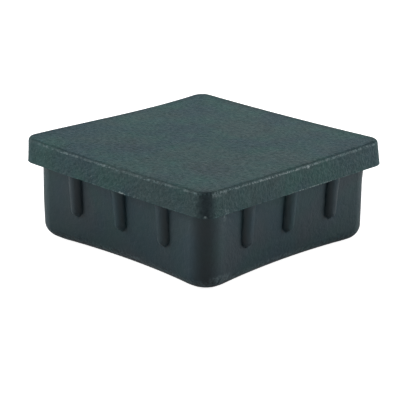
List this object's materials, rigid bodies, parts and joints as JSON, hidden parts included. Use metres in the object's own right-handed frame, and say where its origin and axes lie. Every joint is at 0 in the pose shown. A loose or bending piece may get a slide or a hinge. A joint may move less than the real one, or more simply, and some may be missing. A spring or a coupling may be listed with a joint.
{
  "type": "tube end cap",
  "caption": "Square end cap for a tube: a grained flat head flush with the tube, over a hollow insert whose walls carry crush ribs.",
  "frame": {"origin": "centre of the plane where the head's underside seats on the tube's end", "axes": "+Z out of the tube, through the head; +X and +Y square to the insert's walls"},
  "size_m": [0.05, 0.05, 0.0203],
  "materials": {
    "polyethylene": "dark green-grey moulded polyethylene, fine spark-eroded grain on the head and satin on the insert"
  },
  "bodies": {
    "root": {"end_cap": "polyethylene"}
  },
  "joints": []
}
